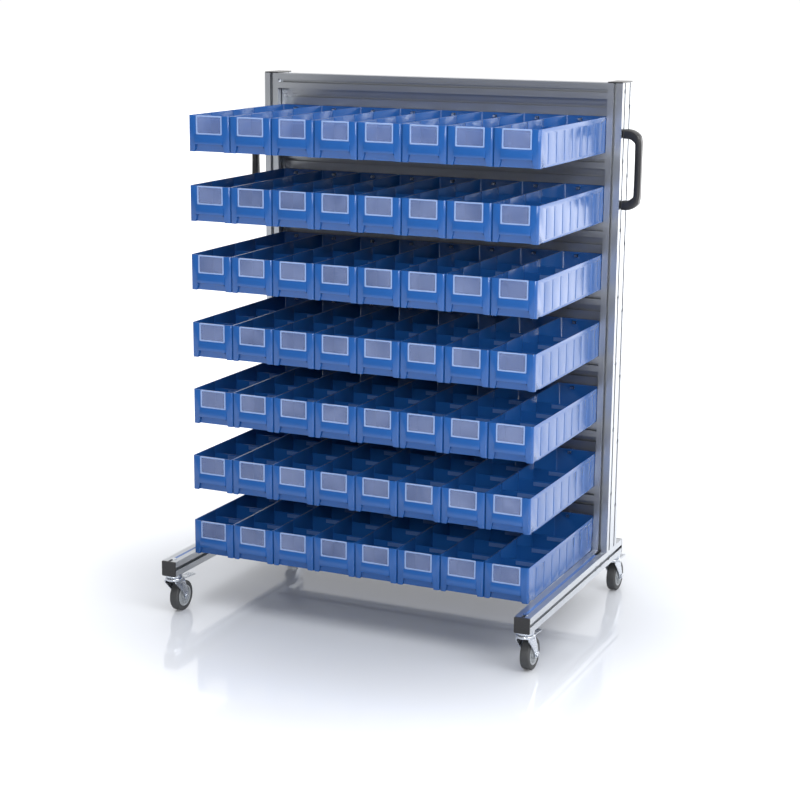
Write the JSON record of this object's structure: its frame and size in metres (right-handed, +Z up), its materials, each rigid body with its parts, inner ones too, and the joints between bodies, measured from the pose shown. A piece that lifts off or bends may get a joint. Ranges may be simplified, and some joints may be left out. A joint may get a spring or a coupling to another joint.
{
  "type": "mobile small-parts bin rack",
  "caption": "Wheeled slotted-aluminium rack with tiers of blue shelf bins for sorting small parts, push handles and braked swivel casters.",
  "frame": {"origin": "on the floor, at the middle of the footprint: X at the middle between the feet, Y at the middle between the front end caps and the rear casters' pedal tips", "axes": "+Z up, the bins' window fronts face -Y, +X to the right as seen from the front; casters stored trailing towards +Y"},
  "size_m": [1.118, 0.776, 1.376],
  "materials": {
    "aluminium_profile": "clear anodised, satin",
    "black_plastic": "moulded, satin to gloss",
    "strip_plastic": "satin strip",
    "zinc_steel": "bright zinc plated",
    "blue_plastic": "injection moulded, light sheen",
    "clear_plastic": "clear moulded",
    "divider_plastic": "injection moulded",
    "hub_plastic": "moulded",
    "grey_tyre": "non-marking rubber"
  },
  "bodies": {
    "frame": {"left_upright": "aluminium_profile", "right_upright": "aluminium_profile", "front_beams": "aluminium_profile", "rear_beams": "aluminium_profile", "foot_crossbeam": "aluminium_profile", "left_foot": "aluminium_profile", "right_foot": "aluminium_profile", "end_caps": "black_plastic", "slot_covers": "strip_plastic", "frame_screws": "zinc_steel", "handle_bolts": "zinc_steel", "left_handle": "black_plastic", "right_handle": "black_plastic", "bin_hooks": "zinc_steel", "caster_bolts": "zinc_steel", "caster_heads": "zinc_steel"},
    "tier_1_bin_row": {"tier_1_bins": "blue_plastic", "tier_1_windows": "clear_plastic", "tier_1_dividers": "divider_plastic"},
    "tier_2_bin_row": {"tier_2_bins": "blue_plastic", "tier_2_windows": "clear_plastic", "tier_2_dividers": "divider_plastic"},
    "tier_3_bin_row": {"tier_3_bins": "blue_plastic", "tier_3_windows": "clear_plastic", "tier_3_dividers": "divider_plastic"},
    "tier_4_bin_row": {"tier_4_bins": "blue_plastic", "tier_4_windows": "clear_plastic", "tier_4_dividers": "divider_plastic"},
    "tier_5_bin_row": {"tier_5_bins": "blue_plastic", "tier_5_windows": "clear_plastic", "tier_5_dividers": "divider_plastic"},
    "tier_6_bin_row": {"tier_6_bins": "blue_plastic", "tier_6_windows": "clear_plastic", "tier_6_dividers": "divider_plastic"},
    "tier_7_bin_row": {"tier_7_bins": "blue_plastic", "tier_7_windows": "clear_plastic", "tier_7_dividers": "divider_plastic"},
    "single_bin_body": {"single_bin": "blue_plastic", "single_bin_window": "clear_plastic", "single_bin_dividers": "divider_plastic"},
    "front_left_caster": {"front_left_fork": "zinc_steel", "front_left_axle_bolt": "zinc_steel"},
    "front_left_wheel": {"front_left_hub": "hub_plastic", "front_left_tyre": "grey_tyre"},
    "front_left_pedal": {"front_left_brake_pedal": "zinc_steel"},
    "front_right_caster": {"front_right_fork": "zinc_steel", "front_right_axle_bolt": "zinc_steel"},
    "front_right_wheel": {"front_right_hub": "hub_plastic", "front_right_tyre": "grey_tyre"},
    "front_right_pedal": {"front_right_brake_pedal": "zinc_steel"},
    "rear_left_caster": {"rear_left_fork": "zinc_steel", "rear_left_axle_bolt": "zinc_steel"},
    "rear_left_wheel": {"rear_left_hub": "hub_plastic", "rear_left_tyre": "grey_tyre"},
    "rear_left_pedal": {"rear_left_brake_pedal": "zinc_steel"},
    "rear_right_caster": {"rear_right_fork": "zinc_steel", "rear_right_axle_bolt": "zinc_steel"},
    "rear_right_wheel": {"rear_right_hub": "hub_plastic", "rear_right_tyre": "grey_tyre"},
    "rear_right_pedal": {"rear_right_brake_pedal": "zinc_steel"}
  },
  "joints": [
    {"name": "tier_1_row_slide", "type": "slide", "parent": "frame", "child": "tier_1_bin_row", "axis": [0, -1, 0], "range_m": [0, 0.1]},
    {"name": "tier_2_row_slide", "type": "slide", "parent": "frame", "child": "tier_2_bin_row", "axis": [0, -1, 0], "range_m": [0, 0.1]},
    {"name": "tier_3_row_slide", "type": "slide", "parent": "frame", "child": "tier_3_bin_row", "axis": [0, -1, 0], "range_m": [0, 0.1]},
    {"name": "tier_4_row_slide", "type": "slide", "parent": "frame", "child": "tier_4_bin_row", "axis": [0, -1, 0], "range_m": [0, 0.1]},
    {"name": "tier_5_row_slide", "type": "slide", "parent": "frame", "child": "tier_5_bin_row", "axis": [0, -1, 0], "range_m": [0, 0.1]},
    {"name": "tier_6_row_slide", "type": "slide", "parent": "frame", "child": "tier_6_bin_row", "axis": [0, -1, 0], "range_m": [-0.008, 0.092]},
    {"name": "tier_7_row_slide", "type": "slide", "parent": "frame", "child": "tier_7_bin_row", "axis": [0, -1, 0], "range_m": [-0.008, 0.092]},
    {"name": "single_bin_slide", "type": "slide", "parent": "frame", "child": "single_bin_body", "axis": [0, -1, 0], "range_m": [0, 0.1]},
    {"name": "front_left_swivel", "type": "hinge", "parent": "frame", "child": "front_left_caster", "pos_m": [-0.489, -0.362, 0.095], "axis": [0, 0, 1], "continuous": true},
    {"name": "front_left_wheel_spin", "type": "hinge", "parent": "front_left_caster", "child": "front_left_wheel", "pos_m": [-0.489, -0.328, 0.04], "axis": [1, 0, 0], "continuous": true},
    {"name": "front_left_brake", "type": "hinge", "parent": "front_left_caster", "child": "front_left_pedal", "pos_m": [-0.489, -0.346, 0.086], "axis": [-1, 0, 0], "range_deg": [0, 11]},
    {"name": "front_right_swivel", "type": "hinge", "parent": "frame", "child": "front_right_caster", "pos_m": [0.489, -0.362, 0.095], "axis": [0, 0, 1], "continuous": true},
    {"name": "front_right_wheel_spin", "type": "hinge", "parent": "front_right_caster", "child": "front_right_wheel", "pos_m": [0.489, -0.328, 0.04], "axis": [1, 0, 0], "continuous": true},
    {"name": "front_right_brake", "type": "hinge", "parent": "front_right_caster", "child": "front_right_pedal", "pos_m": [0.489, -0.346, 0.086], "axis": [-1, 0, 0], "range_deg": [0, 11]},
    {"name": "rear_left_swivel", "type": "hinge", "parent": "frame", "child": "rear_left_caster", "pos_m": [-0.489, 0.296, 0.095], "axis": [0, 0, 1], "continuous": true},
    {"name": "rear_left_wheel_spin", "type": "hinge", "parent": "rear_left_caster", "child": "rear_left_wheel", "pos_m": [-0.489, 0.33, 0.04], "axis": [1, 0, 0], "continuous": true},
    {"name": "rear_left_brake", "type": "hinge", "parent": "rear_left_caster", "child": "rear_left_pedal", "pos_m": [-0.489, 0.312, 0.086], "axis": [-1, 0, 0], "range_deg": [0, 11]},
    {"name": "rear_right_swivel", "type": "hinge", "parent": "frame", "child": "rear_right_caster", "pos_m": [0.489, 0.296, 0.095], "axis": [0, 0, 1], "continuous": true},
    {"name": "rear_right_wheel_spin", "type": "hinge", "parent": "rear_right_caster", "child": "rear_right_wheel", "pos_m": [0.489, 0.33, 0.04], "axis": [1, 0, 0], "continuous": true},
    {"name": "rear_right_brake", "type": "hinge", "parent": "rear_right_caster", "child": "rear_right_pedal", "pos_m": [0.489, 0.312, 0.086], "axis": [-1, 0, 0], "range_deg": [0, 11]}
  ]
}
